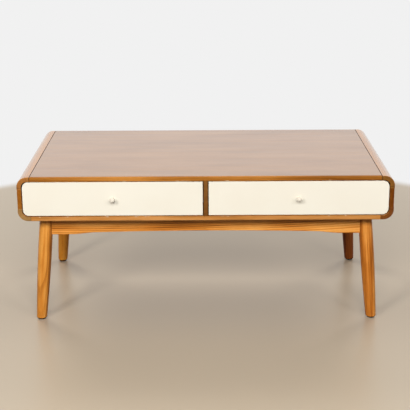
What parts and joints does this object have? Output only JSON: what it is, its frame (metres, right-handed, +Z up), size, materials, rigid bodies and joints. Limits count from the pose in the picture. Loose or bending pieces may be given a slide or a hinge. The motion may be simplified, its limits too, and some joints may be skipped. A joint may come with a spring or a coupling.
{
  "type": "coffee table",
  "caption": "Low coffee table: round-cornered wooden case with two inset cream drawers on ball slides, on a base of splayed turned legs and arched aprons.",
  "frame": {"origin": "centre of the outer box in plan, on the floor", "axes": "+X to the right along the length, +Y to the back, away from the drawer fronts, +Z up"},
  "size_m": [1.1, 0.6206, 0.455],
  "materials": {
    "top_veneer": "red-brown veneer, clear satin lacquer, grain along the table",
    "case_wood": "warm brown hardwood, clear satin lacquer",
    "corner_wood": "warm brown solid hardwood, clear satin lacquer",
    "frame_wood": "honey brown solid hardwood, clear satin lacquer",
    "leg_wood": "turned honey brown solid hardwood, clear satin lacquer",
    "plywood": "thin plywood, plain",
    "drawer_wood": "pale plywood, clear matt lacquer",
    "cream_paint": "cream satin paint on wood",
    "slide_steel": "zinc-plated rolled steel",
    "cage_steel": "thin pressed steel, zinc-plated",
    "ball_steel": "polished hardened steel, greased",
    "screw_steel": "zinc-plated steel",
    "glide_plastic": "dark brown moulded plastic"
  },
  "bodies": {
    "table": {"top_panel": "top_veneer", "top_front_lipping": "corner_wood", "top_left_corner": "corner_wood", "top_right_corner": "corner_wood", "bottom_panel": "case_wood", "bottom_front_lipping": "corner_wood", "bottom_left_corner": "corner_wood", "bottom_right_corner": "corner_wood", "left_side_panel": "case_wood", "right_side_panel": "case_wood", "centre_divider": "case_wood", "back_panel": "plywood", "front_apron": "frame_wood", "back_apron": "frame_wood", "left_apron": "frame_wood", "right_apron": "frame_wood", "front_left_leg": "leg_wood", "front_left_glide": "glide_plastic", "front_left_corner_block": "frame_wood", "front_right_leg": "leg_wood", "front_right_glide": "glide_plastic", "front_right_corner_block": "frame_wood", "back_left_leg": "leg_wood", "back_left_glide": "glide_plastic", "back_left_corner_block": "frame_wood", "back_right_leg": "leg_wood", "back_right_glide": "glide_plastic", "back_right_corner_block": "frame_wood", "frame_screws": "screw_steel", "left_drawer_inner_rail": "slide_steel", "left_drawer_outer_rail": "slide_steel", "right_drawer_inner_rail": "slide_steel", "right_drawer_outer_rail": "slide_steel", "slide_rail_screws": "screw_steel", "back_panel_screws": "screw_steel"},
    "left_drawer": {"left_drawer_front": "cream_paint", "left_drawer_inner_side": "drawer_wood", "left_drawer_outer_side": "drawer_wood", "left_drawer_back": "drawer_wood", "left_drawer_bottom": "plywood", "left_drawer_knob": "cream_paint", "left_knob_screw": "screw_steel", "left_drawer_inner_runner": "slide_steel", "left_drawer_outer_runner": "slide_steel", "left_runner_screws": "screw_steel"},
    "right_drawer": {"right_drawer_front": "cream_paint", "right_drawer_inner_side": "drawer_wood", "right_drawer_outer_side": "drawer_wood", "right_drawer_back": "drawer_wood", "right_drawer_bottom": "plywood", "right_drawer_knob": "cream_paint", "right_knob_screw": "screw_steel", "right_drawer_inner_runner": "slide_steel", "right_drawer_outer_runner": "slide_steel", "right_runner_screws": "screw_steel"},
    "left_cages": {"left_ball_cages": "cage_steel", "left_slide_balls": "ball_steel"},
    "right_cages": {"right_ball_cages": "cage_steel", "right_slide_balls": "ball_steel"}
  },
  "joints": [
    {"name": "left_drawer_slide", "type": "slide", "parent": "table", "child": "left_drawer", "axis": [0, -1, 0], "range_m": [0, 0.33]},
    {"name": "left_cage_travel", "type": "slide", "parent": "table", "child": "left_cages", "axis": [0, -1, 0], "range_m": [0, 0.165]},
    {"name": "right_drawer_slide", "type": "slide", "parent": "table", "child": "right_drawer", "axis": [0, -1, 0], "range_m": [0, 0.33]},
    {"name": "right_cage_travel", "type": "slide", "parent": "table", "child": "right_cages", "axis": [0, -1, 0], "range_m": [0, 0.165]}
  ],
  "couplings": [
    {"joint": "left_cage_travel", "follows": "left_drawer_slide", "ratio": 0.5},
    {"joint": "right_cage_travel", "follows": "right_drawer_slide", "ratio": 0.5}
  ]
}
